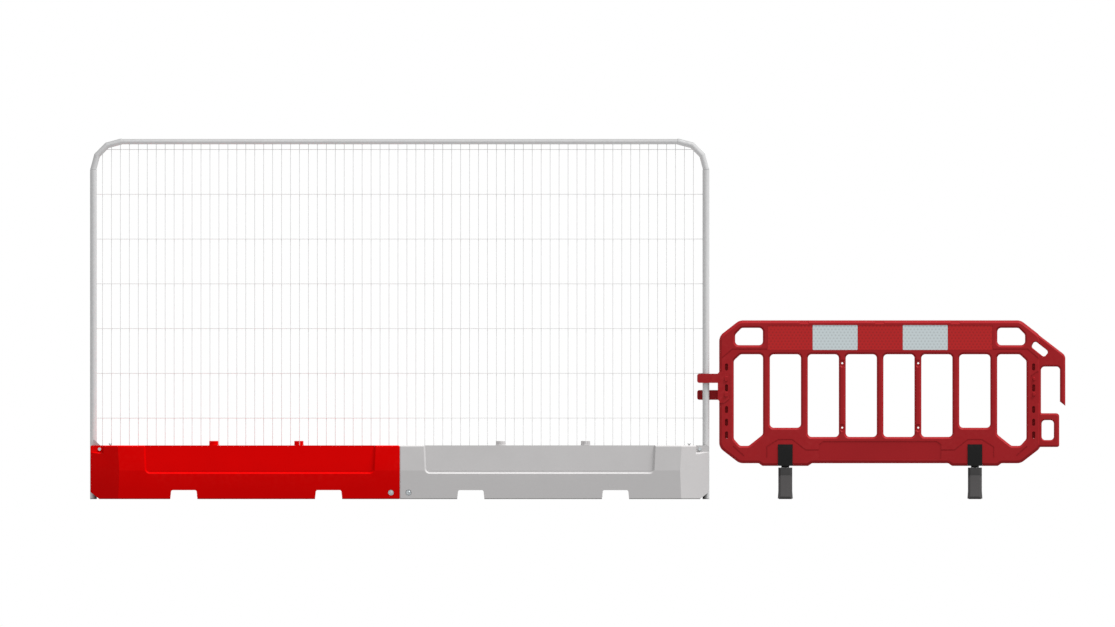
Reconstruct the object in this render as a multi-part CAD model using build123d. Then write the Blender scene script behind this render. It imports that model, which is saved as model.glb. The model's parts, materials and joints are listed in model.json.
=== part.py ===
from build123d import *
import math
import os

# A connected run of site barricade. Two water-filled ballast blocks carry a welded mesh fence
# panel, and a moulded pedestrian barrier clips round the panel's end post and swings on it.
# Sizes are in mm. X runs along the barricade, the front faces -Y and the ground is Z = 0.
# Pieces are drawn with X = 0 at the outer edge of the left fence post, and are moved on export
# so that the origin is the middle of the run on the ground.

# Mesh fence panel
FENCE_WIDTH = 3459.0
FENCE_TOP = 2011.0
POST_RADIUS = 19.0
ELBOW_RADIUS = 17.0
RAIL_RADIUS = 14.75
TUBE_WALL = 2.0
BEND_RADIUS = 153.0
BEND_FACETS = 3
ELBOW_STUB = 4.0
WIRE_RADIUS = 1.5
WIRE_PITCH = 50.0
WIRE_COUNT = 67
FIRST_WIRE_X = 70.0
ROW_PITCH = 250.0
ROW_COUNT = 7
TOP_ROW_Z = 1952.5
BOTTOM_RAIL_Z = 250.0
PLUG_FLANGE = 3.0
PLUG_DEPTH = 18.0
GUSSET_THICKNESS = 4.0
GUSSET_TIP_Z = 334.5
GUSSET_HEEL_Z = 242.0
GUSSET_TOE_X = 97.0
GUSSET_TOE_Z = 264.0
TAB_TOP_Z = 294.0

# Ballast blocks, each drawn from its outer end
BLOCK_START = 2.5
BLOCK_LENGTH = FENCE_WIDTH / 2 - BLOCK_START
BLOCK_HEIGHT = 300.0
BLOCK_DEPTH = 400.0
BELT_Z = 160.0
TOP_LEAN = 7.0
BASE_LEAN = 4.5
END_DEPTH = 120.0
TAPER_LENGTH = 161.0
TOP_TAPER_LENGTH = 152.0
BASE_TAPER_LENGTH = 155.0
SHELL = 5.0
TOP_ROUNDING = 9.0
BASE_ROUNDING = 4.0
INNER_END_CHAMFER = 4.0
TOE_CUT_LENGTH = 50.0
TOE_CUT_HEIGHT = 40.0
RECESS_START = 290.5
RECESS_END = 1600.5
RECESS_FLOOR_Z = 140.0
RECESS_SLANT = 14.0
RECESS_DEPTH = 12.0
RECESS_CORNER = 30.0
RECESS_WALL_SLOPE = 0.8
FORK_CENTRES = (521.5, 1330.0)
FORK_WIDTH = 147.0
FORK_HEIGHT = 50.0
FORK_DRAFT = 3.0
GROOVE_WIDTH = 34.0
GROOVE_FLOOR_Z = 234.0
POCKET_LENGTH = 100.0
POCKET_WIDTH = 50.0
NOTCH_LENGTH = 72.0
NOTCH_FLOOR_Z = 263.0
NOTCH_FLOOR_SLOPE = 0.2
NOTCH_FACE_Y = 56.0
WATER_LEVEL = 268.0

# Filler necks, caps and drain plugs
NECK_PLACES = ((689.0, -105.0), (1164.0, 105.0))
NECK_RADIUS = 20.0
NECK_BORE = 16.0
NECK_TOP_Z = 316.0
CAP_RADIUS = 25.5
CAP_FLARE_RADIUS = 28.0
CAP_FLARE_HEIGHT = 4.0
CAP_HEIGHT = 25.0
CAP_CROWN = 5.0
CAP_GAP = 0.5
CAP_FLUTES = 16
CAP_FLUTE_RADIUS = 2.4
CAP_FLUTE_DEPTH = 0.5
SEAL_HEIGHT = 3.6
DRAIN_RADIUS = 15.0
DRAIN_LENGTH = 14.0
DRAIN_Y = -120.0
DRAIN_Z = 28.0

# Fasteners of the fence and the blocks
BOLT_RADIUS = 6.0
BOLT_HOLE_RADIUS = 6.5
NUT_FLATS = 18.0
NUT_HEIGHT = 8.0
WASHER_RADIUS = 15.0
WASHER_THICKNESS = 2.5
CLAMP_BOLT_X = 53.0
CLAMP_BOLT_RADIUS = 4.0
CLAMP_HOLE_RADIUS = 4.5
CLAMP_FLATS = 13.0
CLAMP_NUT_HEIGHT = 6.5
CLAMP_WASHER_RADIUS = 9.0
CLAMP_BOLT_Z = 279.0
JOINT_BOLT_OFFSET = 49.0
JOINT_BOLT_Z = 36.0
JOINT_SEAT_Y = 187.5
JOINT_SEAT_RADIUS = 17.0
BUTTON_RADIUS = 11.0
BUTTON_HEIGHT = 6.0
SOCKET_FLATS = 9.0
SOCKET_DEPTH = 10.0
TIE_BAR_LENGTH = 150.0
TIE_BAR_HEIGHT = 40.0
TIE_BAR_THICKNESS = 8.0
SPRING_CLIP_X = 113.0
SPRING_CLIP_TOP_Z = 311.5
SPRING_CLIP_FORK_Z = 297.0
SPRING_CLIP_SPREAD = 16.5
SPRING_CLIP_STRIP = 4.0
SPRING_CLIP_INNER_Y = 4.0

# Pedestrian barrier, drawn from its left edge
BARRIER_X = 3513.9
BARRIER_WIDTH = 1797.4
BARRIER_TOP = 998.3
BARRIER_BASE = 200.3
CORE_HALF = 15.0
PANEL_HALF = 25.0
EDGE_BEVEL = 15.0
OPENING_BEVEL = 12.0
PANEL_WALL = 6.0
CORNER_RUN = 113.0
TOP_CORNER_Z = 910.7
BASE_CORNER_Z = 287.2
CORNER_ROUNDING = 58.0
BOSS_Z = 185.4
BOSS_REACH = 127.8
BOSS_SLOPE = 20.8
FOOT_X = 369.2
HOOK_TIP_X = 1933.3
HOOK_TIP_Z = 803.0
HOOK_START_X = 1660.0
PRONG_INNER_X = 1903.0
PRONG_INNER_Z = 544.5
PRONG_END_Z = 521.0
HOOK_GAP_TOP = 740.0
LUG_TOP = 479.7
LUG_BASE = 291.0
LUG_X = 1899.4
LUG_HOLE_X = (1801.0, 1869.1)
LUG_HOLE_ROUNDING = 20.0
LUG_HOLE_Z = (330.0, 441.0)
HOOK_HALF = 22.0
HOOK_BEVEL = 10.0
OPENING_TOP = 808.8
OPENING_ROUNDING = 22.0
BAR_WIDTH = 38.7
MIDDLE_OPENING = 173.1
END_OPENING_X = (81.7, 244.5)
FIRST_MIDDLE_X = 283.3
DEEP_SILL = 398.8
SHALLOW_SILL = 347.5
HANDLE_X = (89.3, 243.8)
HANDLE_Z = (860.0, 956.3)
SHEET_RECESS_X = (270.0, 1528.5)
SHEET_RECESS_Z = (832.5, 972.5)
SHEET_RECESS_DEPTH = 3.0
SHEET_COUNT = 5
SHEET_GAP = 1.0
SHEET_THICKNESS = 1.2
SIGN_HOLE_RADIUS = 5.25
SIGN_HOLE_X = (687.2, 1111.5)
SIGN_HOLE_Z = (399.0, 759.0)
SIGN_SEAT = ((-17.0, 21.0), (-17.0, -17.0), (0.0, -26.0), (17.0, -17.0), (17.0, 21.0))
SIGN_SEAT_DEPTH = 5.0
SIGN_BOSS_HALF = 30.0
STILE_SLOT_X = 41.0
STILE_SLOT_Z = (738.0, 621.6, 500.7, 429.2, 358.8)
STILE_SLOT_WIDTH = 17.0
STILE_SLOT_HEIGHT = 39.0
STILE_SLOT_DEPTH = 19.0
GROOVE_LINE_WIDTH = 6.0
GROOVE_LINE_DEPTH = 2.0
BADGE_X = (558.0, 1240.0)
BADGE_Z = (225.0, 324.0)
LAMP_SEAT_X = (475.5, 897.0, 1320.0)
LAMP_SEAT_WIDTH = 55.0
LAMP_SEAT_DROP = 8.0
LAMP_SEAT_SLOPE = 7.0

# Link clip between the barrier's stile and the fence post
CLIP_SEAT_DEPTH = 4.0
CLIP_PLATE = 7.0
CLIP_REACH = 123.0
CLIP_LIP = 18.0
CLIP_ROUNDING = 12.0
CLIP_WEB_X = -8.0
CLIP_WEB_Z = (548.0, 710.0)
CLIP_ROOT_FLARE = 8.0
UPPER_ARM_Z = (649.0, 700.5)
LOWER_ARM_Z = (554.5, 609.0)
PEG_Z = (671.0, 585.0)
PEG_X = 39.0
PEG_WIDTH = 17.0
PEG_HEIGHT = 25.0
PEG_PROUD = 5.0
PEG_HEAD_RIM = 1.5
KNOB_INSET = 1.0
KNOB_HEIGHT = 6.0
FIT_GAP = 0.2

# Swivel feet under the barrier
FOOT_CLIP_WIDTH = 81.5
FOOT_CLIP_TOP = 305.5
FOOT_CLIP_PLATE = 6.0
FOOT_CLIP_PROUD = 3.0
NECK_COLLAR_RADIUS = 22.4
FOOT_TOP = 176.2
FOOT_SHOULDER_Z = 133.0
FOOT_LENGTH = 560.0
FOOT_WIDTH = 78.0
FOOT_BASE_WIDTH = 84.0
FOOT_FLARE_Z = 45.0
FOOT_TOE_Z = 14.0
FOOT_BASE_Z = 3.0
FOOT_WALL = 7.0
FOOT_HUB_HALF = 44.0
FOOT_SHOULDER_HALF = 52.0
FOOT_BEVEL = 16.0
FOOT_END_BLOCK = 46.0
FOOT_RIB_PLACES = (95.0, 150.0, 200.0)
PIVOT_RADIUS = 8.0
BUSH_RADIUS = 12.0
RUNNING_GAP = 0.05
PIVOT_TOP_Z = 236.0
PIVOT_HEAD_RADIUS = 15.0
PIVOT_HEAD_Z = (10.0, 21.5)
PIVOT_POCKET_TOP = 22.0
PIVOT_POCKET_RADIUS = 20.0

LEFT_POST_X = POST_RADIUS
RIGHT_POST_X = FENCE_WIDTH - POST_RADIUS
TOP_RAIL_Z = FENCE_TOP - RAIL_RADIUS
POST_TOP_Z = TOP_RAIL_Z - BEND_RADIUS
RUN_LENGTH = BARRIER_X + HOOK_TIP_X
JOINT_X = FENCE_WIDTH / 2
BLOCK_END = FENCE_WIDTH - BLOCK_START
BLOCK_POST_X = LEFT_POST_X - BLOCK_START
FACET_ANGLE = 90.0 / BEND_FACETS


def outline(points, rounding):
    """A closed flat outline with a rounding at each corner, one value for all or one for each."""
    radii = rounding if isinstance(rounding, (list, tuple)) else [rounding] * len(points)
    return make_face(FilletPolyline(*points, radius=radii, close=True))


def slab(points, rounding, y_min, y_max):
    """An outline drawn in X and Z, solid from y_min to y_max."""
    return extrude(Plane.XZ.offset(-y_max) * outline(points, rounding), amount=y_max - y_min)


def rectangle(x_range, z_range):
    return [(x_range[0], z_range[0]), (x_range[1], z_range[0]), (x_range[1], z_range[1]), (x_range[0], z_range[1])]


def box(x_range, y_range, z_range):
    return slab(rectangle(x_range, z_range), 0, *y_range)


def bevelled(points, rounding, core_half, full_half, inset):
    """A slab about Y = 0 whose outline closes in by inset towards both faces; negative opens it."""
    slope = math.degrees(math.atan2(inset, full_half - core_half))
    layer = extrude(Plane.XZ.offset(core_half) * outline(points, rounding), amount=full_half - core_half,
                    taper=slope)
    return slab(points, rounding, -core_half, core_half) + layer + mirror(layer, Plane.XZ)


def rod(radius, start, end):
    """A round bar between two points on a line along one axis."""
    axis = Vector(*end) - Vector(*start)
    return extrude(Plane(origin=start, z_dir=axis) * Circle(radius), amount=axis.length)


def tube(radius, wall, start, end):
    return rod(radius, start, end) - rod(radius - wall, start, end)


def hex_bar(flats, start, end):
    axis = Vector(*end) - Vector(*start)
    return extrude(Plane(origin=start, z_dir=axis) * RegularPolygon(flats / 2, 6, major_radius=False),
                   amount=axis.length)


def both_sides(piece):
    return piece + mirror(piece, Plane.XZ)


def mirrored_fence(piece):
    return mirror(piece, Plane.YZ.offset(FENCE_WIDTH / 2))


def bend_points():
    """Corners of the left bend's centre line, from the post's top to the rail."""
    centre_x = LEFT_POST_X + BEND_RADIUS
    angles = [math.radians(FACET_ANGLE * step) for step in range(BEND_FACETS + 1)]
    return [(centre_x - BEND_RADIUS * math.cos(a), POST_TOP_Z + BEND_RADIUS * math.sin(a)) for a in angles]


def elbow_path():
    points = bend_points()
    start = (points[0][0], points[0][1] - ELBOW_STUB)
    end = (points[-1][0] + ELBOW_STUB, points[-1][1])
    return Polyline(*[(x, 0, z) for x, z in [start, *points, end]])


def elbow():
    start = Plane(origin=(LEFT_POST_X, 0, POST_TOP_Z - ELBOW_STUB))
    outer = sweep(start * Circle(ELBOW_RADIUS), path=elbow_path(), transition=Transition.RIGHT)
    inner = sweep(start * Circle(ELBOW_RADIUS - TUBE_WALL), path=elbow_path(), transition=Transition.RIGHT)
    return outer, outer - inner


def frame_underside(x):
    """Height of the frame's underside above a wire at x."""
    reach = min(x, FENCE_WIDTH - x) - LEFT_POST_X
    if reach >= BEND_RADIUS + ELBOW_STUB:
        return TOP_RAIL_Z - RAIL_RADIUS
    if reach >= BEND_RADIUS:
        return TOP_RAIL_Z - ELBOW_RADIUS
    points = bend_points()
    for (x0, z0), (x1, z1) in zip(points, points[1:]):
        if reach <= x1 - LEFT_POST_X:
            slope = math.atan2(z1 - z0, x1 - x0)
            centre_z = z0 + (reach + LEFT_POST_X - x0) * math.tan(slope)
            return centre_z - ELBOW_RADIUS / math.cos(slope)
    return TOP_RAIL_Z - ELBOW_RADIUS


def bend_x(z):
    """Where the left bend's centre line is at height z, or the post's inner face below the bend."""
    points = bend_points()
    for (x0, z0), (x1, z1) in zip(points, points[1:]):
        if z0 <= z <= z1:
            return x0 + (x1 - x0) * (z - z0) / (z1 - z0)
    return LEFT_POST_X + POST_RADIUS


def fence_post(x):
    return tube(POST_RADIUS, TUBE_WALL, (x, 0, PLUG_FLANGE), (x, 0, POST_TOP_Z - ELBOW_STUB))


def post_plug(x):
    flange = rod(POST_RADIUS, (x, 0, 0), (x, 0, PLUG_FLANGE))
    return flange + rod(POST_RADIUS - TUBE_WALL - FIT_GAP, (x, 0, 0), (x, 0, PLUG_DEPTH))


def top_rail():
    start = LEFT_POST_X + BEND_RADIUS + ELBOW_STUB
    return tube(RAIL_RADIUS, TUBE_WALL, (start, 0, TOP_RAIL_Z), (FENCE_WIDTH - start, 0, TOP_RAIL_Z))


def bottom_rail():
    ends = ((LEFT_POST_X, 0, BOTTOM_RAIL_Z), (RIGHT_POST_X, 0, BOTTOM_RAIL_Z))
    posts = [rod(POST_RADIUS, (x, 0, 0), (x, 0, BLOCK_HEIGHT)) for x in (LEFT_POST_X, RIGHT_POST_X)]
    return tube(RAIL_RADIUS, TUBE_WALL, *ends) - posts


def upright_wires():
    wires = []
    for index in range(WIRE_COUNT):
        x = FIRST_WIRE_X + index * WIRE_PITCH
        start = (x, WIRE_RADIUS, BOTTOM_RAIL_Z + RAIL_RADIUS)
        wires.append(rod(WIRE_RADIUS, start, (x, WIRE_RADIUS, frame_underside(x))))
    return wires


def level_wires(elbow_outer):
    wires = []
    for index in range(ROW_COUNT):
        z = TOP_ROW_Z - index * ROW_PITCH
        start = bend_x(z)
        row = rod(WIRE_RADIUS, (start, -WIRE_RADIUS, z), (FENCE_WIDTH - start, -WIRE_RADIUS, z))
        if z > POST_TOP_Z:
            row = row - [elbow_outer, mirrored_fence(elbow_outer)]
        wires.append(row)
    return wires


def clamp_plate(points):
    """A plate in front of a post and the bottom rail that takes the clamp bolt."""
    plate = slab(points, 2.0, -POST_RADIUS - GUSSET_THICKNESS, -POST_RADIUS)
    return plate - rod(CLAMP_HOLE_RADIUS, (CLAMP_BOLT_X, -BLOCK_DEPTH, CLAMP_BOLT_Z),
                       (CLAMP_BOLT_X, BLOCK_DEPTH, CLAMP_BOLT_Z))


def corner_plates():
    """Tall gussets at the left post and short tabs, hidden in the block, at the right post."""
    gusset = clamp_plate([(LEFT_POST_X, GUSSET_TIP_Z), (GUSSET_TOE_X, GUSSET_TOE_Z), (GUSSET_TOE_X, GUSSET_HEEL_Z),
                          (LEFT_POST_X, GUSSET_HEEL_Z)])
    tab = mirrored_fence(clamp_plate(rectangle((LEFT_POST_X, GUSSET_TOE_X), (GUSSET_HEEL_Z, TAB_TOP_Z))))
    return [gusset, mirror(gusset, Plane.XZ), tab, mirror(tab, Plane.XZ)]


def spring_clips():
    """A pair of forked strips wedged in the rail groove above the bottom rail, each side of the mesh."""
    base_z = BOTTOM_RAIL_Z + RAIL_RADIUS
    stem = SPRING_CLIP_STRIP / 2
    half = SPRING_CLIP_SPREAD / 2
    points = [(-stem, base_z), (stem, base_z), (stem, SPRING_CLIP_FORK_Z), (half, SPRING_CLIP_TOP_Z),
              (half - SPRING_CLIP_STRIP, SPRING_CLIP_TOP_Z), (0, SPRING_CLIP_FORK_Z + SPRING_CLIP_STRIP),
              (SPRING_CLIP_STRIP - half, SPRING_CLIP_TOP_Z), (-half, SPRING_CLIP_TOP_Z), (-stem, SPRING_CLIP_FORK_Z)]
    strip = Pos(SPRING_CLIP_X, 0, 0) * slab(points, 0, -GROOVE_WIDTH / 2, -SPRING_CLIP_INNER_Y)
    return [strip, mirror(strip, Plane.XZ)]


def clamp_bolt():
    """Hex-head bolt through the block's end cheeks and both corner plates, with its nut and washers."""
    seat = NOTCH_FACE_Y + WASHER_THICKNESS
    height = CLAMP_NUT_HEIGHT
    x, z = CLAMP_BOLT_X, CLAMP_BOLT_Z
    shank = rod(CLAMP_BOLT_RADIUS, (x, -seat, z), (x, seat + height + 3, z))
    head = hex_bar(CLAMP_FLATS, (x, -seat - height, z), (x, -seat, z))
    nut = hex_bar(CLAMP_FLATS, (x, seat, z), (x, seat + height, z))
    return shank + head, nut - shank


def washer(radius, hole, start, facing):
    x, y, z = start
    end = (x, y + facing * WASHER_THICKNESS, z)
    return rod(radius, start, end) - rod(hole, start, end)


def hull_section(z, half_depth, taper_length, inset):
    end_half = END_DEPTH / 2
    points = [(0, end_half), (0, -end_half), (taper_length, -half_depth), (BLOCK_LENGTH, -half_depth),
              (BLOCK_LENGTH, half_depth), (taper_length, half_depth)]
    section = make_face(Polyline(*points, close=True))
    if inset:
        section = offset(section, amount=-inset, kind=Kind.INTERSECTION)
    return Pos(0, 0, z) * section


def block_hull(inset):
    """The block's outer form, widest at the belt line, or the same form shrunk by inset."""
    half = BLOCK_DEPTH / 2
    base = hull_section(inset, half - BASE_LEAN, BASE_TAPER_LENGTH, inset)
    belt = hull_section(BELT_Z, half, TAPER_LENGTH, inset)
    top = hull_section(BLOCK_HEIGHT - inset, half - TOP_LEAN, TOP_TAPER_LENGTH, inset)
    hull = loft([base.face(), belt.face()], ruled=True) + loft([belt.face(), top.face()], ruled=True)
    if inset == 0:
        hull = fillet(hull.edges().group_by(Axis.Z)[-1], TOP_ROUNDING)
        hull = fillet(hull.edges().group_by(Axis.Z)[0], BASE_ROUNDING)
    return hull


def inner_end_trims():
    """Wedges that chamfer the upright edges of the block's inner end."""
    cut = INNER_END_CHAMFER
    half = BLOCK_DEPTH / 2
    sections = []
    for z, half_depth in ((0, half - BASE_LEAN), (BELT_Z, half), (BLOCK_HEIGHT, half - TOP_LEAN)):
        points = [(BLOCK_LENGTH - cut, -half_depth), (BLOCK_LENGTH, cut - half_depth),
                  (BLOCK_LENGTH + cut, -half_depth - cut)]
        sections.append((Pos(0, 0, z) * make_face(Polyline(*points, close=True))).face())
    wedge = loft(sections[:2], ruled=True) + loft(sections[1:], ruled=True)
    return both_sides(wedge)


def fork_tunnel(centre, grow):
    top = FORK_WIDTH / 2 - FORK_DRAFT + grow
    base = FORK_WIDTH / 2 + FORK_DRAFT + grow
    over = SHELL + grow
    points = [(centre - base, -over), (centre + base, -over), (centre + top, FORK_HEIGHT + grow),
              (centre - top, FORK_HEIGHT + grow)]
    return slab(points, [0, 0, 10.0, 10.0], -BLOCK_DEPTH, BLOCK_DEPTH)


def face_core(depth):
    """All that lies deeper than depth behind the block's two long faces."""
    half = BLOCK_DEPTH / 2 - depth
    side = [(half - BASE_LEAN, 0), (half, BELT_Z), (half - TOP_LEAN, BLOCK_HEIGHT), (half - TOP_LEAN, 2 * BLOCK_HEIGHT)]
    profile = side + [(-y, z) for y, z in reversed(side)]
    return extrude(Plane.YZ * make_face(Polyline(*profile, close=True)), amount=BLOCK_LENGTH)


def side_recess(grow):
    """The shallow recess in both upper faces, open at the top, with sloping walls."""
    over_z = BLOCK_HEIGHT * 1.1
    rise = (over_z - RECESS_FLOOR_Z) / (BLOCK_HEIGHT - RECESS_FLOOR_Z)
    slant = RECESS_SLANT * rise
    low_start = RECESS_START + RECESS_SLANT - grow
    low_end = RECESS_END - RECESS_SLANT + grow
    points = [(low_start, RECESS_FLOOR_Z - grow), (low_end, RECESS_FLOOR_Z - grow), (low_end + slant, over_z),
              (low_start - slant, over_z)]
    wall = outline(points, [RECESS_CORNER, RECESS_CORNER, 0, 0])
    outside = Plane.XZ.offset(BLOCK_DEPTH / 2 + 1)
    depth = RECESS_DEPTH + TOP_LEAN + 1 + grow
    cutter = extrude(outside * wall, amount=-depth, taper=math.degrees(math.atan(RECESS_WALL_SLOPE)))
    return both_sides(cutter) - face_core(RECESS_DEPTH + grow)


def end_notch(grow):
    """Flat seats for the clamp bolt's head and nut at the block's outer end."""
    face_y = grow - NOTCH_FACE_Y
    side_y = -BLOCK_DEPTH / 2
    floor_z = NOTCH_FLOOR_Z - grow
    points = [(face_y, BLOCK_HEIGHT + 1), (face_y, floor_z), (side_y, floor_z - NOTCH_FLOOR_SLOPE * (face_y - side_y)),
              (side_y, BLOCK_HEIGHT + 1)]
    start = Plane.YZ.offset(-grow - 1)
    return both_sides(extrude(start * make_face(Polyline(*points, close=True)), amount=NOTCH_LENGTH + 2 * grow + 1))


def toe_cut(grow):
    """The sloping cut under the block's outer end."""
    slope = TOE_CUT_HEIGHT / TOE_CUT_LENGTH
    shift = grow * math.hypot(1, slope)
    over = 10.0 + grow
    points = [(-over, -over), ((TOE_CUT_HEIGHT + shift + over) / slope, -over),
              (-over, TOE_CUT_HEIGHT + shift + slope * over)]
    return slab(points, 0, -BLOCK_DEPTH, BLOCK_DEPTH)


def post_slot(grow):
    radius = POST_RADIUS + 4 * FIT_GAP + grow
    shaft = rod(radius, (BLOCK_POST_X, 0, -grow), (BLOCK_POST_X, 0, BLOCK_HEIGHT + 1))
    return shaft + box((-1, BLOCK_POST_X), (-radius, radius), (-grow, BLOCK_HEIGHT + 1))


def rail_groove(grow):
    """The groove that holds the fence's bottom rail, wider at the end for the gusset plates."""
    z_range = (GROOVE_FLOOR_Z - grow, BLOCK_HEIGHT + 1)
    half = GROOVE_WIDTH / 2 + grow
    pocket_half = POCKET_WIDTH / 2 + grow
    groove = box((-1, BLOCK_LENGTH + 1), (-half, half), z_range)
    return groove + box((-1, POCKET_LENGTH + grow), (-pocket_half, pocket_half), z_range)


def joint_bolt_x():
    """Distance of the joint bolt from the block's outer end."""
    return JOINT_X - BLOCK_START - JOINT_BOLT_OFFSET


def joint_cuts(grow):
    """The slot for the tie bar at the inner end, and the bolt hole that crosses it."""
    x = joint_bolt_x()
    half = TIE_BAR_THICKNESS / 2 + FIT_GAP + grow
    slot_start = JOINT_X - BLOCK_START - TIE_BAR_LENGTH / 2 - 1 - grow
    slot_half_height = TIE_BAR_HEIGHT / 2 + 1 + grow
    slot = box((slot_start, BLOCK_LENGTH + 1), (-half, half),
               (JOINT_BOLT_Z - slot_half_height, JOINT_BOLT_Z + slot_half_height))
    hole = rod(BOLT_HOLE_RADIUS + grow, (x, -BLOCK_DEPTH / 2, JOINT_BOLT_Z), (x, BLOCK_DEPTH / 2, JOINT_BOLT_Z))
    seat = rod(JOINT_SEAT_RADIUS + grow, (x, grow - JOINT_SEAT_Y, JOINT_BOLT_Z), (x, -BLOCK_DEPTH / 2, JOINT_BOLT_Z))
    return slot + hole + both_sides(seat)


def clamp_hole(grow):
    x = CLAMP_BOLT_X - BLOCK_START
    return rod(CLAMP_HOLE_RADIUS + grow, (x, -END_DEPTH, CLAMP_BOLT_Z), (x, END_DEPTH, CLAMP_BOLT_Z))


def drain_wall_x():
    """The inner wall of the outer fork tunnel, where the drain plug sits."""
    return FORK_CENTRES[0] + FORK_WIDTH / 2


def drain_bore(radius, start):
    x = drain_wall_x()
    return rod(radius, (x + start, DRAIN_Y, DRAIN_Z), (x + DRAIN_LENGTH + 2, DRAIN_Y, DRAIN_Z))


def block_cuts(grow):
    tunnels = [fork_tunnel(centre, grow) for centre in FORK_CENTRES]
    return tunnels + [side_recess(grow), end_notch(grow), toe_cut(grow), post_slot(grow), rail_groove(grow),
                      joint_cuts(grow), clamp_hole(grow), inner_end_trims()]


def block_cavity():
    drain_boss = drain_bore(DRAIN_RADIUS + SHELL, 0)
    return block_hull(SHELL) - (block_cuts(SHELL) + [drain_boss])


def block_shell(cavity):
    """The hollow moulding with its two filler necks and its drain hole."""
    shell = block_hull(0) - block_cuts(0) - cavity
    necks = [rod(NECK_RADIUS, (x, y, BLOCK_HEIGHT - SHELL), (x, y, NECK_TOP_Z)) for x, y in NECK_PLACES]
    bores = [rod(NECK_BORE, (x, y, BLOCK_HEIGHT - 3 * SHELL), (x, y, NECK_TOP_Z)) for x, y in NECK_PLACES]
    drain_hole = drain_bore(DRAIN_RADIUS + FIT_GAP, -FORK_DRAFT)
    return (shell + necks) - (bores + [drain_hole])


def water(cavity):
    return cavity & box((0, BLOCK_LENGTH), (-BLOCK_DEPTH, BLOCK_DEPTH), (0, WATER_LEVEL))


def filler_cap():
    """A fluted screw cap over a filler neck, drawn on the Z axis."""
    base_z = BLOCK_HEIGHT + CAP_GAP
    crown_z = BLOCK_HEIGHT + CAP_HEIGHT
    body = Pos(0, 0, base_z) * extrude(Circle(CAP_RADIUS), amount=crown_z - base_z)
    body = fillet(body.edges().group_by(Axis.Z)[-1], 2.5)
    angles = [360.0 / CAP_FLUTES * step for step in range(CAP_FLUTES)]
    flute_x = CAP_RADIUS + CAP_FLUTE_RADIUS - CAP_FLUTE_DEPTH
    flute = rod(CAP_FLUTE_RADIUS, (flute_x, 0, base_z + CAP_FLARE_HEIGHT), (flute_x, 0, crown_z - CAP_CROWN))
    body = body - [Rot(0, 0, angle) * flute for angle in angles]
    flare = Pos(0, 0, base_z) * extrude(Circle(CAP_FLARE_RADIUS), amount=CAP_FLARE_HEIGHT, taper=20)
    hollow = rod(NECK_RADIUS + 4 * FIT_GAP, (0, 0, base_z), (0, 0, crown_z - CAP_CROWN))
    return (body + flare) - hollow


def neck_seal():
    ring = rod(NECK_RADIUS - 1, (0, 0, NECK_TOP_Z), (0, 0, NECK_TOP_Z + SEAL_HEIGHT))
    return ring - rod(NECK_BORE, (0, 0, NECK_TOP_Z), (0, 0, NECK_TOP_Z + SEAL_HEIGHT))


def drain_plug():
    x = drain_wall_x()
    plug = rod(DRAIN_RADIUS, (x, DRAIN_Y, DRAIN_Z), (x + DRAIN_LENGTH, DRAIN_Y, DRAIN_Z))
    return plug - hex_bar(SOCKET_FLATS * 1.5, (x, DRAIN_Y, DRAIN_Z), (x + DRAIN_LENGTH / 2, DRAIN_Y, DRAIN_Z))


def joint_bolt():
    """Button-head bolt across the inner end of a block, drawn at the block's own bolt hole."""
    x, z = joint_bolt_x(), JOINT_BOLT_Z
    seat = JOINT_SEAT_Y + WASHER_THICKNESS
    shank = rod(BOLT_RADIUS, (x, -seat, z), (x, seat + NUT_HEIGHT, z))
    head = rod(BUTTON_RADIUS, (x, -seat - BUTTON_HEIGHT, z), (x, -seat, z))
    head = fillet(head.edges().group_by(Axis.Y)[0], 3.5)
    head_y = -seat - BUTTON_HEIGHT
    socket = hex_bar(SOCKET_FLATS, (x, head_y, z), (x, head_y + SOCKET_DEPTH, z))
    nut = hex_bar(NUT_FLATS, (x, seat, z), (x, seat + NUT_HEIGHT, z)) - shank
    return (shank + head) - socket, nut


def tie_bar():
    half = TIE_BAR_LENGTH / 2
    bar = box((JOINT_X - half, JOINT_X + half), (-TIE_BAR_THICKNESS / 2, TIE_BAR_THICKNESS / 2),
              (JOINT_BOLT_Z - TIE_BAR_HEIGHT / 2, JOINT_BOLT_Z + TIE_BAR_HEIGHT / 2))
    places = (JOINT_X - JOINT_BOLT_OFFSET, JOINT_X + JOINT_BOLT_OFFSET)
    return bar - [rod(BOLT_HOLE_RADIUS, (x, -10, JOINT_BOLT_Z), (x, 10, JOINT_BOLT_Z)) for x in places]


def left_block_place(piece):
    return Pos(BLOCK_START, 0, 0) * piece


def right_block_place(piece):
    """The right block is the left one turned half a turn about the vertical."""
    return Pos(BLOCK_END, 0, 0) * Rot(0, 0, 180) * piece


def flip_barrier(points):
    """The same outline seen from the barrier's other end."""
    return [(BARRIER_WIDTH - x, z) for x, z in reversed(points)]


def barrier_outline():
    """The barrier without its hook: cut corners and two foot bosses along the base."""
    left = [(FOOT_X + BOSS_REACH + BOSS_SLOPE, BARRIER_BASE), (FOOT_X + BOSS_REACH, BOSS_Z),
            (FOOT_X - BOSS_REACH, BOSS_Z), (FOOT_X - BOSS_REACH - BOSS_SLOPE, BARRIER_BASE),
            (CORNER_RUN, BARRIER_BASE), (0, BASE_CORNER_Z), (0, TOP_CORNER_Z), (CORNER_RUN, BARRIER_TOP)]
    radii = [8.0] * 4 + [CORNER_ROUNDING] * 4
    return left + flip_barrier(left), radii + radii[::-1]


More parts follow.
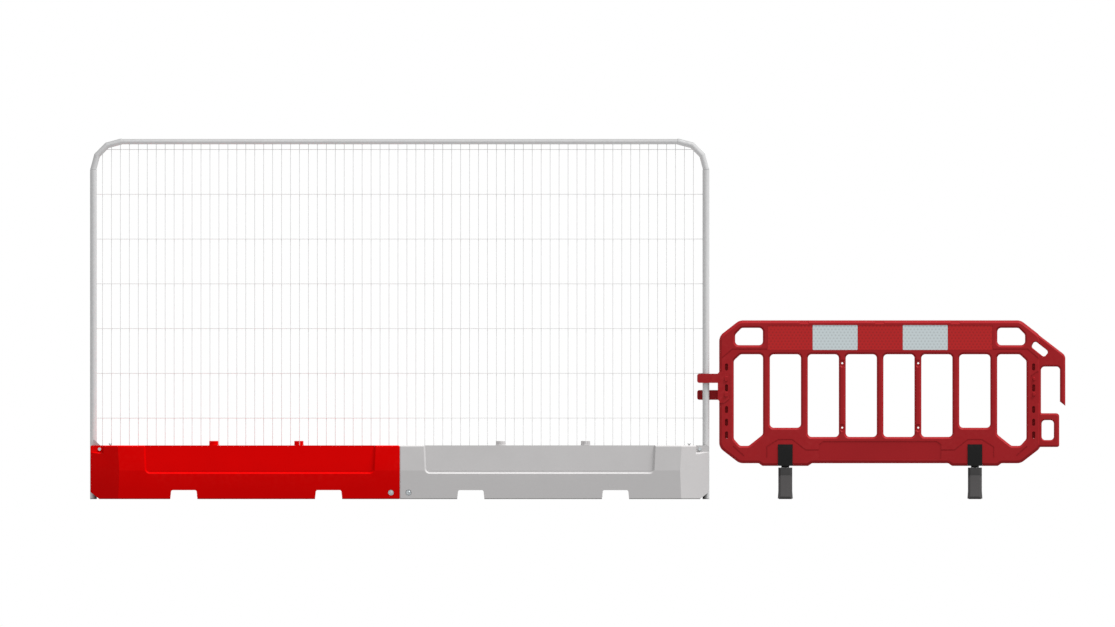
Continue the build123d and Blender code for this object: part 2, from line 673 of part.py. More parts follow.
def hook_outline():
    """The hook past the right stile: a sloping arm, a prong, and the lug that closes the gap."""
    points = [(HOOK_START_X, BARRIER_TOP), (1679.3, BARRIER_TOP), (HOOK_TIP_X, HOOK_TIP_Z),
              (HOOK_TIP_X, PRONG_END_Z), (PRONG_INNER_X, PRONG_INNER_Z), (PRONG_INNER_X, HOOK_GAP_TOP),
              (BARRIER_WIDTH, HOOK_GAP_TOP), (BARRIER_WIDTH, LUG_TOP), (LUG_X, LUG_TOP), (LUG_X, LUG_BASE),
              (1745.0, LUG_BASE), (1745.0, 700.0), (HOOK_START_X, 860.0)]
    radii = [0, 50.0, 38.0, 0, 0, 20.0, 20.0, 6.0, 18.0, 12.0, 0, 0, 0]
    return points, radii


def end_opening():
    """The opening beside the left stile, with three cut corners."""
    left, right = END_OPENING_X
    return [(left + 34.1, 297.7), (165.0, 297.7), (right, 361.0), (right, OPENING_TOP),
            (left + 38.0, OPENING_TOP), (left, 774.0), (left, 336.0)]


def barrier_openings():
    pitch = MIDDLE_OPENING + BAR_WIDTH
    openings = [end_opening()]
    for index, sill in enumerate((DEEP_SILL, SHALLOW_SILL, SHALLOW_SILL)):
        start = FIRST_MIDDLE_X + index * pitch
        openings.append(rectangle((start, start + MIDDLE_OPENING), (sill, OPENING_TOP)))
    return openings + [flip_barrier(points) for points in openings]


def handle_hole():
    left, right = HANDLE_X
    bottom, top = HANDLE_Z
    return [(left, bottom), (right, bottom), (right, top), (left + 36.0, top), (left, 919.0)]


def hand_slot():
    return [(1762.0, 885.0), (1743.0, 850.0), (1815.0, 792.0), (1841.0, 823.0)]


def all_openings():
    """Every through opening of the barrier with its corner rounding and bevel."""
    holes = [(points, OPENING_ROUNDING, OPENING_BEVEL) for points in barrier_openings()]
    holes += [(points, OPENING_ROUNDING, OPENING_BEVEL) for points in (handle_hole(), flip_barrier(handle_hole()))]
    holes.append((hand_slot(), 14.0, 5.0))
    return holes


def stile_slots(depth, grow):
    cutters = []
    half_width = STILE_SLOT_WIDTH / 2 + grow
    half_height = STILE_SLOT_HEIGHT / 2 + grow
    for z in STILE_SLOT_Z:
        for x in (STILE_SLOT_X, BARRIER_WIDTH - STILE_SLOT_X):
            shape = rectangle((x - half_width, x + half_width), (z - half_height, z + half_height))
            cutters.append(both_sides(slab(shape, half_width * 0.98, -PANEL_HALF - 1, depth - PANEL_HALF)))
    return cutters


def clip_seat_outline():
    return [(0, 537.0), (27.0, 537.0), (58.0, 560.0), (58.0, 689.0), (22.0, 713.0), (0, 713.0)]


def peg_outline(z, grow):
    half_width = PEG_WIDTH / 2 + grow
    half_height = PEG_HEIGHT / 2 + grow
    return rectangle((PEG_X - half_width, PEG_X + half_width), (z - half_height, z + half_height))


def groove_line(points):
    """A shallow moulded line along the given points, on both faces."""
    half = GROOVE_LINE_WIDTH / 2
    strips = []
    for (x0, z0), (x1, z1) in zip(points, points[1:]):
        length = math.hypot(x1 - x0, z1 - z0)
        along = ((x1 - x0) / length * half, (z1 - z0) / length * half)
        across = (-along[1], along[0])
        corners = [(x0 - along[0] * 0.4 - across[0], z0 - along[1] * 0.4 - across[1]),
                   (x1 + along[0] * 0.4 - across[0], z1 + along[1] * 0.4 - across[1]),
                   (x1 + along[0] * 0.4 + across[0], z1 + along[1] * 0.4 + across[1]),
                   (x0 - along[0] * 0.4 + across[0], z0 - along[1] * 0.4 + across[1])]
        strips.append(both_sides(slab(corners, 0, -PANEL_HALF - 1, GROOVE_LINE_DEPTH - PANEL_HALF)))
    return strips


def trim_lines():
    foot_line = [(265.0, 232.0), (265.0, 291.0), (330.0, 332.0), (408.0, 332.0), (483.0, 274.0), (558.0, 274.0)]
    shoulder_line = [(17.6, 790.0), (74.5, 837.0), (266.0, 837.0)]
    arm_line = [(1531.4, 837.0), (1722.9, 837.0), (1792.0, 777.0)]
    corner_line = [(79.0, 294.0), (137.0, 242.0)]
    lines = [foot_line, flip_barrier(foot_line), shoulder_line, arm_line, corner_line, flip_barrier(corner_line)]
    return [strip for line in lines for strip in groove_line(line)]


def panel_recesses():
    """Shallow seats in both faces: reflective sheets, the blank badge and the link clips."""
    sheet = slab(rectangle(SHEET_RECESS_X, SHEET_RECESS_Z), 6.0, -PANEL_HALF - 1, SHEET_RECESS_DEPTH - PANEL_HALF)
    badge_points = [(BADGE_X[0], BADGE_Z[0]), (BADGE_X[1], BADGE_Z[0]), (BADGE_X[1], BADGE_Z[1] - 18.0),
                    (BADGE_X[1] - 24.0, BADGE_Z[1]), (BADGE_X[0] + 24.0, BADGE_Z[1]), (BADGE_X[0], BADGE_Z[1] - 18.0)]
    badge = slab(badge_points, 4.0, -PANEL_HALF - 1, GROOVE_LINE_DEPTH - PANEL_HALF)
    seats = [slab(clip_seat_outline(), 0, -PANEL_HALF - 1, CLIP_SEAT_DEPTH - PANEL_HALF),
             slab(flip_barrier(clip_seat_outline()), 0, -PANEL_HALF - 1, GROOVE_LINE_DEPTH - PANEL_HALF)]
    return [both_sides(recess) for recess in [sheet, badge, *seats]]


def lamp_seats():
    """Seats for warning lamps, cut into the bevels along the barrier's top and short of its crest."""
    outside = PANEL_HALF + 1
    depth = outside - CORE_HALF
    wedge_points = [(-CORE_HALF, BARRIER_TOP), (-outside, BARRIER_TOP), (-outside, BARRIER_TOP - EDGE_BEVEL - LAMP_SEAT_DROP)]
    wedge = extrude(Plane.YZ * make_face(Polyline(*wedge_points, close=True)), amount=BARRIER_WIDTH)
    cutters = []
    for x in LAMP_SEAT_X:
        half = LAMP_SEAT_WIDTH / 2
        shape = outline(rectangle((x - half, x + half), (BARRIER_TOP - 2 * EDGE_BEVEL, BARRIER_TOP + EDGE_BEVEL)), 0)
        cutter = extrude(Plane.XZ.offset(outside) * shape, amount=-depth,
                         taper=math.degrees(math.atan2(LAMP_SEAT_SLOPE, depth)))
        cutters.append(both_sides(cutter & wedge))
    return cutters


def sign_seats():
    """A shallow seat round each sign bolt hole, closed below by a V-shaped step."""
    outside = PANEL_HALF + 1
    depth = SIGN_SEAT_DEPTH + 1
    cutters = []
    for x in SIGN_HOLE_X:
        for z in SIGN_HOLE_Z:
            shape = outline([(x + dx, z + dz) for dx, dz in SIGN_SEAT], 0)
            cutters.append(both_sides(extrude(Plane.XZ.offset(outside) * shape, amount=-depth, taper=45)))
    return cutters


def foot_clip_seat(x):
    """The strap seat round the barrier's lower edge, and the pivot hole above it."""
    half = FOOT_CLIP_WIDTH / 2 + FIT_GAP
    face = PANEL_HALF - (FOOT_CLIP_PLATE - FOOT_CLIP_PROUD) - FIT_GAP
    front = box((x - half, x + half), (-PANEL_HALF - 1, -face), (BOSS_Z - 1, FOOT_CLIP_TOP + FIT_GAP))
    under = box((x - half, x + half), (-PANEL_HALF - 1, PANEL_HALF + 1),
                (BOSS_Z - 1, BOSS_Z + FOOT_CLIP_PLATE + FIT_GAP))
    pivot = rod(PIVOT_RADIUS + FIT_GAP, (x, 0, BOSS_Z), (x, 0, PIVOT_TOP_Z + 1))
    return [both_sides(front), under, pivot]


def panel_cavity():
    """The closed hollow inside the barrier, with solid posts left round every hole and seat."""
    points, radii = barrier_outline()
    half = PANEL_HALF - PANEL_WALL
    inner = offset(outline(points, radii), amount=-(EDGE_BEVEL * 0.4 + PANEL_WALL))
    hollow = extrude(Plane.XZ.offset(-half) * inner, amount=2 * half)
    grown = []
    for points, rounding, bevel in all_openings():
        shape = offset(outline(points, rounding), amount=bevel * 0.4 + PANEL_WALL)
        grown.append(extrude(Plane.XZ.offset(-PANEL_HALF) * shape, amount=2 * PANEL_HALF))
    posts = [box((x - BAR_WIDTH / 2, x + BAR_WIDTH / 2), (-PANEL_HALF, PANEL_HALF),
                 (z - SIGN_BOSS_HALF, z + SIGN_BOSS_HALF)) for x in SIGN_HOLE_X for z in SIGN_HOLE_Z]
    half_foot = FOOT_CLIP_WIDTH / 2 + PANEL_WALL
    feet = [box((x - half_foot, x + half_foot), (-PANEL_HALF, PANEL_HALF), (BOSS_Z, FOOT_CLIP_TOP + PANEL_WALL))
            for x in (FOOT_X, BARRIER_WIDTH - FOOT_X)]
    stiles = [box((x - 22, x + 22), (-PANEL_HALF, PANEL_HALF), (340.0, 765.0))
              for x in (STILE_SLOT_X, BARRIER_WIDTH - STILE_SLOT_X)]
    return hollow - (grown + posts + feet + stiles)


def seat_knob(x, z):
    """A moulded oval knob on the right stile's blank clip seat."""
    half = PEG_WIDTH / 2 - KNOB_INSET
    half_height = PEG_HEIGHT / 2 - KNOB_INSET
    shape = outline(rectangle((x - half, x + half), (z - half_height, z + half_height)), half * 0.95)
    start = PANEL_HALF - GROOVE_LINE_DEPTH
    return extrude(Plane.XZ.offset(start) * shape, amount=KNOB_HEIGHT, taper=25)


def barrier_panel():
    points, radii = barrier_outline()
    panel = bevelled(points, radii, CORE_HALF, PANEL_HALF, EDGE_BEVEL)
    hook_points, hook_radii = hook_outline()
    panel = panel + bevelled(hook_points, hook_radii, CORE_HALF, HOOK_HALF, HOOK_BEVEL)
    cutters = [bevelled(shape, rounding, CORE_HALF, PANEL_HALF + 0.5, -bevel)
               for shape, rounding, bevel in all_openings()]
    cutters.append(bevelled(rectangle(LUG_HOLE_X, LUG_HOLE_Z), LUG_HOLE_ROUNDING, CORE_HALF, PANEL_HALF, -HOOK_BEVEL))
    cutters += [rod(SIGN_HOLE_RADIUS, (x, -PANEL_HALF, z), (x, PANEL_HALF, z))
                for x in SIGN_HOLE_X for z in SIGN_HOLE_Z]
    cutters += [slab(peg_outline(z, FIT_GAP), PEG_WIDTH * 0.45, -PANEL_HALF, PANEL_HALF) for z in PEG_Z]
    cutters += stile_slots(STILE_SLOT_DEPTH, 0) + trim_lines() + panel_recesses() + lamp_seats() + sign_seats()
    cutters += foot_clip_seat(FOOT_X) + foot_clip_seat(BARRIER_WIDTH - FOOT_X)
    knobs = [both_sides(seat_knob(BARRIER_WIDTH - PEG_X, z)) for z in PEG_Z]
    return (panel - cutters - panel_cavity()) + knobs


def reflective_sheets():
    """Sheets in both faces' recesses, red first and then white and red in turn."""
    pitch = (SHEET_RECESS_X[1] - SHEET_RECESS_X[0]) / SHEET_COUNT
    floor_y = PANEL_HALF - SHEET_RECESS_DEPTH
    z_range = (SHEET_RECESS_Z[0] + SHEET_GAP / 2, SHEET_RECESS_Z[1] - SHEET_GAP / 2)
    groups = ([], [])
    for index in range(SHEET_COUNT):
        start = SHEET_RECESS_X[0] + index * pitch
        shape = rectangle((start + SHEET_GAP / 2, start + pitch - SHEET_GAP / 2), z_range)
        front = slab(shape, 5.0, -floor_y - SHEET_THICKNESS, -floor_y)
        groups[index % 2].extend([front, mirror(front, Plane.XZ)])
    return groups


def clip_arm(z_range, front, lip_back):
    """An arm along the front of the post, with a lip that turns in behind it and rounded free corners."""
    shape = slab(rectangle((-CLIP_REACH, 0), z_range), [CLIP_ROUNDING, 0, 0, CLIP_ROUNDING], front, lip_back)
    return shape - box((-CLIP_REACH + CLIP_PLATE, 1), (front + CLIP_PLATE, lip_back + 1), z_range)


def link_clip():
    """Hexagon plates on both faces of the left stile, a web, and an arm each side of the post."""
    inner = PANEL_HALF - CLIP_SEAT_DEPTH
    outer = inner + CLIP_PLATE
    plates = both_sides(slab(clip_seat_outline(), [0, 4.0, 4.0, 4.0, 4.0, 0], -outer, -inner))
    base_z, top_z = CLIP_WEB_Z
    web = slab([(0, base_z), (CLIP_WEB_X, base_z + CLIP_ROOT_FLARE), (CLIP_WEB_X, top_z - CLIP_ROOT_FLARE), (0, top_z)],
               0, -outer, outer)
    front_arm = clip_arm(UPPER_ARM_Z, -outer, CLIP_LIP - inner)
    back_arm = mirror(clip_arm(LOWER_ARM_Z, -outer, CLIP_LIP - inner), Plane.XZ)
    slot_z = STILE_SLOT_Z[1]
    slot = slab(rectangle((STILE_SLOT_X - STILE_SLOT_WIDTH / 2, STILE_SLOT_X + STILE_SLOT_WIDTH / 2),
                          (slot_z - STILE_SLOT_HEIGHT / 2, slot_z + STILE_SLOT_HEIGHT / 2)),
                STILE_SLOT_WIDTH * 0.48, -PANEL_HALF * 2, PANEL_HALF * 2)
    holes = [slab(peg_outline(z, FIT_GAP), PEG_WIDTH * 0.45, -PANEL_HALF * 2, PANEL_HALF * 2) for z in PEG_Z]
    return (plates + web + front_arm + back_arm) - ([slot] + holes)


def clip_peg(z):
    reach = PANEL_HALF - CLIP_SEAT_DEPTH + CLIP_PLATE + PEG_PROUD
    shank = slab(peg_outline(z, 0), PEG_WIDTH * 0.45, -reach, reach)
    head = slab(peg_outline(z, PEG_HEAD_RIM), PEG_WIDTH * 0.45, -reach, PEG_PROUD - reach)
    head = chamfer(head.edges().group_by(Axis.Y)[0], PEG_PROUD * 0.7)
    return shank + both_sides(head)


def foot_clip(x):
    """The black strap round the barrier's lower edge, with the round neck that the foot turns on."""
    half = FOOT_CLIP_WIDTH / 2
    outer = PANEL_HALF + FOOT_CLIP_PROUD
    inner = outer - FOOT_CLIP_PLATE
    sides = both_sides(slab(rectangle((x - half, x + half), (BOSS_Z, FOOT_CLIP_TOP)), [0, 0, 5.0, 5.0], -outer, -inner))
    base = box((x - half, x + half), (-outer, outer), (BOSS_Z, BOSS_Z + FOOT_CLIP_PLATE))
    neck = rod(NECK_COLLAR_RADIUS, (x, 0, FOOT_TOP + FIT_GAP * 1.5), (x, 0, BOSS_Z + FOOT_CLIP_PLATE))
    return (sides + base + neck) - rod(PIVOT_RADIUS + FIT_GAP / 2, (x, 0, 0), (x, 0, BARRIER_BASE))


def pivot_bolt(x):
    shank = rod(PIVOT_RADIUS, (x, 0, PIVOT_HEAD_Z[0]), (x, 0, PIVOT_TOP_Z))
    head = hex_bar(PIVOT_HEAD_RADIUS * 1.7, (x, 0, PIVOT_HEAD_Z[0]), (x, 0, PIVOT_HEAD_Z[1] - 3))
    flange = rod(PIVOT_HEAD_RADIUS, (x, 0, PIVOT_HEAD_Z[1] - 3), (x, 0, PIVOT_HEAD_Z[1]))
    return shank + head + flange


def foot_profile(inset):
    """Side view of a swivel foot in Y and Z: a hub in the middle and a long slope to each toe."""
    toe = FOOT_LENGTH / 2 - inset
    side = [(toe, FOOT_BASE_Z), (toe, FOOT_TOE_Z - inset * 0.4), (FOOT_SHOULDER_HALF, FOOT_SHOULDER_Z - inset),
            (FOOT_HUB_HALF, FOOT_TOP - inset)]
    return side + [(-y, z) for y, z in reversed(side)]


def foot_body(points, half_width):
    start = Plane.YZ.offset(-half_width)
    return extrude(start * make_face(Polyline(*points, close=True)), amount=2 * half_width)


def foot_cells():
    """The open cells in the foot's underside, parted by cross ribs and a solid hub."""
    inner = foot_body(foot_profile(FOOT_WALL), FOOT_WIDTH / 2 - FOOT_WALL)
    half_rib = FOOT_WALL / 2
    reach = FOOT_LENGTH / 2
    ribs = [box((-FOOT_WIDTH, FOOT_WIDTH), (y - half_rib, y + half_rib), (0, FOOT_TOP)) for y in FOOT_RIB_PLACES]
    toe = box((-FOOT_WIDTH, FOOT_WIDTH), (reach - FOOT_END_BLOCK, reach), (0, FOOT_TOP))
    hub = box((-FOOT_WIDTH, FOOT_WIDTH), (-FOOT_SHOULDER_HALF, FOOT_SHOULDER_HALF), (0, FOOT_TOP))
    spine = box((-half_rib, half_rib), (-reach, reach), (0, FOOT_TOP))
    kept = [mirror(piece, Plane.XZ) for piece in ribs + [toe]] + ribs + [toe, hub, spine]
    return inner - kept


def swivel_foot():
    """A long moulded foot across the barrier, drawn on the Z axis of its pivot."""
    half = FOOT_WIDTH / 2
    base_half = FOOT_BASE_WIDTH / 2
    body = foot_body(foot_profile(0), base_half)
    upper_edges = [edge for edge in body.edges().filter_by(Axis.X, reverse=True)
                   if edge.center().Z > FOOT_TOE_Z and abs(edge.center().Y) > FOOT_HUB_HALF]
    body = chamfer(upper_edges, FOOT_BEVEL)
    front_view = [(-base_half, FOOT_BASE_Z), (base_half, FOOT_BASE_Z), (half, FOOT_FLARE_Z), (half, FOOT_TOP),
                  (-half, FOOT_TOP), (-half, FOOT_FLARE_Z)]
    body = body & slab(front_view, 0, -FOOT_LENGTH, FOOT_LENGTH)
    pocket = rod(PIVOT_POCKET_RADIUS, (0, 0, 0), (0, 0, PIVOT_POCKET_TOP))
    bore = rod(BUSH_RADIUS + FIT_GAP / 4, (0, 0, 0), (0, 0, FOOT_TOP))
    return body - [foot_cells(), pocket, bore]


def foot_bush():
    ends = ((0, 0, PIVOT_POCKET_TOP), (0, 0, FOOT_TOP))
    return rod(BUSH_RADIUS, *ends) - rod(PIVOT_RADIUS + RUNNING_GAP, *ends)


def foot_pads():
    """Rubber pads under the two toes of a foot."""
    reach = FOOT_LENGTH / 2
    half = FOOT_WIDTH / 2 - 3
    pad = extrude(Plane(origin=(0, reach - FOOT_END_BLOCK / 2 - 1, 0)) * RectangleRounded(2 * half, FOOT_END_BLOCK - 6, 6),
                  amount=FOOT_BASE_Z)
    return [pad, mirror(pad, Plane.XZ)]


def save(name, pieces):
    """Write one sub-part, moved so that the middle of the run is the origin."""
    solids = []
    for piece in pieces if isinstance(pieces, list) else [pieces]:
        solids += (Pos(-RUN_LENGTH / 2, 0, 0) * piece).solids()
    export_step(Compound(children=solids) if len(solids) > 1 else solids[0], f"parts/{name}.step")


def save_blocks():
    cavity = block_cavity()
    shell = block_shell(cavity)
    ballast = water(cavity)
    sides = {"left": left_block_place, "right": right_block_place}
    save("base_block_red", left_block_place(shell))
    save("base_block_white", right_block_place(shell))
    seals = []
    for side, place in sides.items():
        save(f"water_ballast_{side}", place(ballast))
        save(f"drain_plug_{side}", place(drain_plug()))
        for (x, y), spot in zip(NECK_PLACES, ("outer", "inner")):
            save(f"filler_cap_{side}_{spot}", place(Pos(x, y, 0) * filler_cap()))
            seals.append(place(Pos(x, y, 0) * neck_seal()))
    save("filler_seals", seals)


def save_fence():
    elbow_outer, elbow_tube = elbow()
    bolt, nut = clamp_bolt()
    rings = [washer(CLAMP_WASHER_RADIUS, CLAMP_HOLE_RADIUS, (CLAMP_BOLT_X, side * NOTCH_FACE_Y, CLAMP_BOLT_Z), side)
             for side in (-1, 1)]
    save("fence_post_left", fence_post(LEFT_POST_X))
    save("fence_post_right", fence_post(RIGHT_POST_X))
    save("post_plugs", [post_plug(LEFT_POST_X), post_plug(RIGHT_POST_X)])
    save("corner_bend_left", elbow_tube)
    save("corner_bend_right", mirrored_fence(elbow_tube))
    save("top_rail", top_rail())
    save("bottom_rail", bottom_rail())
    save("mesh_upright_wires", upright_wires())
    save("mesh_level_wires", level_wires(elbow_outer))
    save("corner_gussets", corner_plates())
    for name, pieces in {"clamp_bolts": [bolt], "clamp_nuts": [nut], "clamp_washers": rings,
                         "rail_spring_clips": spring_clips()}.items():
        save(name, pieces + [mirrored_fence(piece) for piece in pieces])


def save_block_joint():
    bolt, nut = joint_bolt()
    x, z = joint_bolt_x(), JOINT_BOLT_Z
    rings = [washer(WASHER_RADIUS, BOLT_HOLE_RADIUS, (x, side * JOINT_SEAT_Y, z), side) for side in (-1, 1)]
    save("joint_tie_bar", tie_bar())
    for name, pieces in {"joint_bolts": [bolt], "joint_nuts": [nut], "joint_washers": rings}.items():
        placed = [left_block_place(piece) for piece in pieces]
        save(name, placed + [mirrored_fence(piece) for piece in placed])


def save_barrier():
    on_run = Pos(BARRIER_X, 0, 0)
    red_sheets, white_sheets = reflective_sheets()
    save("barrier_panel", on_run * barrier_panel())
    save("reflective_sheets_red", [on_run * sheet for sheet in red_sheets])
    save("reflective_sheets_white", [on_run * sheet for sheet in white_sheets])
    save("link_clip", on_run * link_clip())
    save("link_clip_pegs", [on_run * clip_peg(z) for z in PEG_Z])
    for side, x in {"left": FOOT_X, "right": BARRIER_WIDTH - FOOT_X}.items():
        at_foot = Pos(BARRIER_X + x, 0, 0)
        save(f"foot_clip_{side}", on_run * foot_clip(x))
        save(f"pivot_bolt_{side}", on_run * pivot_bolt(x))
        save(f"swivel_foot_{side}", at_foot * swivel_foot())
        save(f"foot_bush_{side}", at_foot * foot_bush())
        save(f"foot_pads_{side}", [at_foot * pad for pad in foot_pads()])


os.makedirs("parts", exist_ok=True)
save_blocks()
save_fence()
save_block_joint()
save_barrier()
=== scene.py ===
import bpy
import json
import math
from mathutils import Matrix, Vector


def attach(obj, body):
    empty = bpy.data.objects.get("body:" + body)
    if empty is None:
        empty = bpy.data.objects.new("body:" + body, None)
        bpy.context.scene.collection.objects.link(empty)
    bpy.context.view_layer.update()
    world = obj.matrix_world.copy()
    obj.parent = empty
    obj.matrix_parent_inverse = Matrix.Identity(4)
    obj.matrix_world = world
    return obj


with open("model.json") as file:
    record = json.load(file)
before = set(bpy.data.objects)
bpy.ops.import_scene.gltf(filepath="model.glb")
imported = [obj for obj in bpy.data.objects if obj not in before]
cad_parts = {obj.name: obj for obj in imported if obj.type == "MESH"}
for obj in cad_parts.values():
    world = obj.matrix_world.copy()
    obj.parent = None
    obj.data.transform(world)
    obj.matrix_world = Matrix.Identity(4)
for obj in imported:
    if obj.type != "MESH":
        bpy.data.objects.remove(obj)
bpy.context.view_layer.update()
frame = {"record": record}

# Camera, square on to the front of the run. Lengths are in metres.
VIEW_WIDTH = 6.2273
VIEW_X = -0.1127
VIEW_Z = 1.0366
VIEW_DISTANCE = 12.0
FLOOR_SIZE = 40.0

# Light: an even sky, brighter overhead, and a high key light from the right
SKY_MEAN = 0.79
SKY_SLOPE = 0.25
KEY_FROM = (0.56, -0.24, 1.22)
KEY_ENERGY = 4.2

# Mesh fence panel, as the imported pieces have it
FENCE_LEFT_X = -2.7236
FENCE_RIGHT_X = 0.7354
FENCE_CENTRE_X = (FENCE_LEFT_X + FENCE_RIGHT_X) / 2
FENCE_HALF = (FENCE_RIGHT_X - FENCE_LEFT_X) / 2
POST_RADIUS = 0.019
RAIL_RADIUS = 0.01475
WIRE_RADIUS = 0.0015
WIRE_PITCH = 0.050
WIRE_COUNT = 67
FIRST_WIRE_X = FENCE_LEFT_X + 0.070
ROW_PITCH = 0.250
ROW_COUNT = 7
TOP_ROW_Z = 1.9525
BOTTOM_RAIL_Z = 0.250
BEND_START_Z = 1.84325
BEND_END_X = 0.172
TOP_RAIL_Z = 1.99625

# Welds
NUGGET_SIZE = (0.0026, 0.0019, 0.0026)
BEAD_RADIUS = 0.0022
BEAD_RIPPLE = 0.16
BEAD_RIPPLE_STEP = 2.1
POST_BEAD_RADIUS = POST_RADIUS - 0.0027
POST_BEAD_Z = BEND_START_Z + 0.001
RAIL_BEAD_RADIUS = RAIL_RADIUS - 0.0004
RAIL_BEAD_X = BEND_END_X + 0.004
BOTTOM_BEAD_OFFSET = 0.0165
GUSSET_BEAD_Y = 0.0205
GUSSET_BEAD_Z = 0.245
GUSSET_BEAD_STEP = 0.004
GUSSET_BEAD_COUNT = 22


def add(tree, kind, inputs=None, **settings):
    """One shader node, with its settings and its inputs as numbers or as sockets to link."""
    node = tree.nodes.new(kind)
    for key, value in settings.items():
        setattr(node, key, value)
    for key, value in (inputs or {}).items():
        if isinstance(value, bpy.types.NodeSocket):
            tree.links.new(value, node.inputs[key])
        else:
            node.inputs[key].default_value = value
    return node


def new_material(name, roughness, metallic=0.0, specular=0.5):
    material = bpy.data.materials.new(name)
    material.use_nodes = True
    shader = material.node_tree.nodes["Principled BSDF"]
    shader.inputs["Roughness"].default_value = roughness
    shader.inputs["Metallic"].default_value = metallic
    shader.inputs["Specular IOR Level"].default_value = specular
    return material, material.node_tree, shader


def place(tree):
    return add(tree, "ShaderNodeTexCoord").outputs["Object"]


def noise(tree, scale, detail=3.0, stretch=None):
    """Noise from 0 to 1 at a scale per metre; stretch squeezes the axes first."""
    where = place(tree)
    if stretch:
        where = add(tree, "ShaderNodeVectorMath", {0: where, 1: stretch}, operation="MULTIPLY").outputs[0]
    return add(tree, "ShaderNodeTexNoise", {"Vector": where, "Scale": scale, "Detail": detail}).outputs["Fac"]


def remap(tree, value, low, high, to_low, to_high):
    return add(tree, "ShaderNodeMapRange", {"Value": value, "From Min": low, "From Max": high,
                                            "To Min": to_low, "To Max": to_high}).outputs["Result"]


def math_node(tree, operation, a, b=0.0):
    return add(tree, "ShaderNodeMath", {0: a, 1: b}, operation=operation).outputs[0]


def mix_colour(tree, factor, a, b):
    node = add(tree, "ShaderNodeMix", {"Factor": factor}, data_type="RGBA")
    for name, value in (("A", a), ("B", b)):
        socket = [s for s in node.inputs if s.name == name and s.type == "RGBA"][0]
        if isinstance(value, bpy.types.NodeSocket):
            tree.links.new(value, socket)
        else:
            socket.default_value = (*value, 1.0)
    return [s for s in node.outputs if s.type == "RGBA"][0]


def bump(tree, shader, height, distance, strength=1.0):
    previous = shader.inputs["Normal"].links[0].from_socket if shader.inputs["Normal"].is_linked else None
    node = add(tree, "ShaderNodeBump", {"Height": height, "Distance": distance, "Strength": strength})
    if previous:
        tree.links.new(previous, node.inputs["Normal"])
    tree.links.new(node.outputs["Normal"], shader.inputs["Normal"])


def edge_wear(tree, low=0.52, high=0.6):
    """1 on sharp convex edges, broken up by noise."""
    sharp = add(tree, "ShaderNodeNewGeometry").outputs["Pointiness"]
    edge = remap(tree, sharp, low, high, 0.0, 1.0)
    return math_node(tree, "MULTIPLY", edge, remap(tree, noise(tree, 40.0), 0.4, 0.65, 0.0, 1.0))


def moulded_plastic(name, colour, worn, roughness, specular=0.08, grain=900.0, grain_depth=0.0002,
                    low_painted_shade=1.0):
    """Moulded polyethylene: faint mottling, fine scuffs, worn edges, a grainy skin, painted shade low down and a
    painted contact shadow at the base.
    """
    material, tree, shader = new_material(name, roughness, 0.0, specular)
    darker = tuple(c * 0.955 for c in colour)
    base = mix_colour(tree, remap(tree, noise(tree, 4.0, 4.0), 0.38, 0.68, 0.0, 1.0), colour, darker)
    scuffs = remap(tree, noise(tree, 55.0, 6.0, stretch=(1.0, 1.0, 7.0)), 0.69, 0.82, 0.0, 0.16)
    base = mix_colour(tree, scuffs, base, worn)
    base = mix_colour(tree, math_node(tree, "MULTIPLY", edge_wear(tree), 0.14), base, worn)
    height = add(tree, "ShaderNodeSeparateXYZ", {"Vector": place(tree)}).outputs["Z"]
    # Painted shade: the colour darkens towards the bottom of each piece, scaled by the low-shade factor
    wobble = math_node(tree, "MULTIPLY_ADD", noise(tree, 6.0, 5.0), 0.12)
    tree.links.new(height, wobble.node.inputs[2])
    painted_low_shade_mask = remap(tree, wobble, 0.10, 0.27, 1.0, 0.0)
    base = mix_colour(tree, painted_low_shade_mask, base, tuple(c * low_painted_shade for c in colour))
    # Painted contact shadow: a dark band in the lowest few millimetres above the ground
    painted_contact_shadow = remap(tree, height, 0.0015, 0.007, 0.6, 0.0)
    base = mix_colour(tree, painted_contact_shadow, base, tuple(c * 0.25 for c in colour))
    tree.links.new(base, shader.inputs["Base Color"])
    rough = remap(tree, noise(tree, 25.0, 4.0), 0.3, 0.7, roughness - 0.06, roughness + 0.08)
    tree.links.new(rough, shader.inputs["Roughness"])
    bump(tree, shader, noise(tree, grain, 2.0), grain_depth, 0.4)
    bump(tree, shader, noise(tree, 12.0, 2.0), 0.0012, 0.18)
    return material


